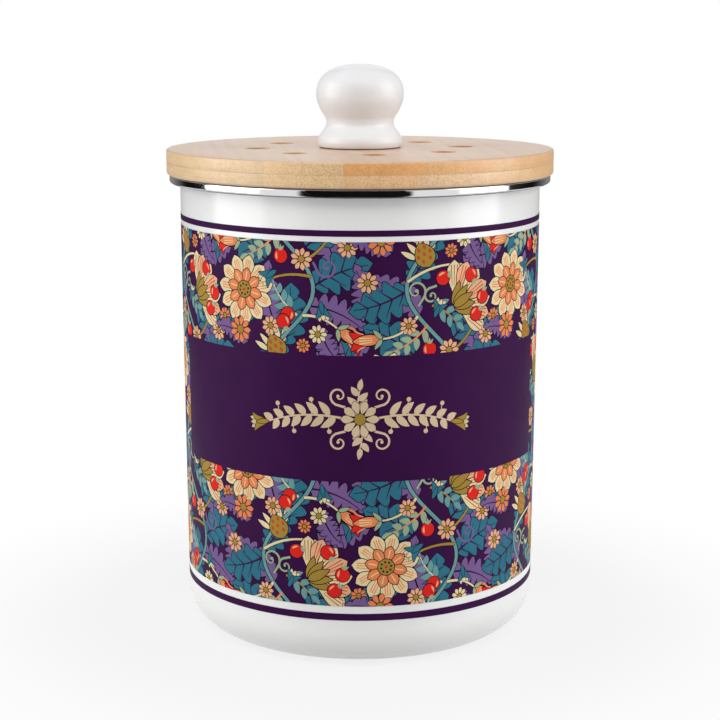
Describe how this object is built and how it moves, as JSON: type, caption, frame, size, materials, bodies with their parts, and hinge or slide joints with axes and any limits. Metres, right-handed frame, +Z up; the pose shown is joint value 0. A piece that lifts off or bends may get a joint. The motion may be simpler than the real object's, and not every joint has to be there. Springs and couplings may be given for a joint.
{
  "type": "compost caddy",
  "caption": "Round enamelled steel kitchen caddy with a printed band, a steel-trimmed rim and a lift-off vented bamboo lid with a knob and a filter underneath.",
  "frame": {"origin": "centre of the ring that the caddy stands on, at the floor", "axes": "+Z up along the canister's axis, the middle of the plain label panel faces -Y, +X to the right of it"},
  "size_m": [0.17, 0.17, 0.25],
  "materials": {
    "enamel": "gloss white vitreous enamel on steel",
    "polished_steel": "polished stainless steel",
    "print": "deep purple fired transfer with a flowered pattern",
    "bamboo": "oiled laminated bamboo",
    "silicone": "soft translucent white",
    "knob_glaze": "gloss white glaze",
    "brass": "turned and knurled",
    "screw_steel": "stainless",
    "filter_felt": "charcoal felt",
    "white_plastic": "moulded, satin"
  },
  "bodies": {
    "canister": {"canister": "enamel", "rim_trim": "polished_steel", "printed_transfer": "print"},
    "lid": {"lid_top_ply": "bamboo", "lid_bottom_ply": "bamboo", "plug_ring": "bamboo", "lid_seal": "silicone", "knob": "knob_glaze", "knob_insert": "brass", "knob_screw": "screw_steel", "knob_washer": "screw_steel", "charcoal_filter": "filter_felt", "filter_grille": "white_plastic", "button_screw_1": "screw_steel", "button_screw_2": "screw_steel", "button_screw_3": "screw_steel", "button_washer_1": "screw_steel", "button_washer_2": "screw_steel", "button_washer_3": "screw_steel"},
    "turn_button_1": {"turn_button_1": "white_plastic"},
    "turn_button_2": {"turn_button_2": "white_plastic"},
    "turn_button_3": {"turn_button_3": "white_plastic"}
  },
  "joints": [
    {"name": "lid_lift", "type": "slide", "parent": "canister", "child": "lid", "axis": [0, 0, 1], "range_m": [0, 0.15]},
    {"name": "button_1_turn", "type": "hinge", "parent": "lid", "child": "turn_button_1", "pos_m": [0, 0.066, 0.191], "axis": [0, 0, 1], "range_deg": [0, 90]},
    {"name": "button_2_turn", "type": "hinge", "parent": "lid", "child": "turn_button_2", "pos_m": [-0.05716, -0.033, 0.191], "axis": [0, 0, 1], "range_deg": [0, 90]},
    {"name": "button_3_turn", "type": "hinge", "parent": "lid", "child": "turn_button_3", "pos_m": [0.05716, -0.033, 0.191], "axis": [0, 0, 1], "range_deg": [0, 90]}
  ]
}
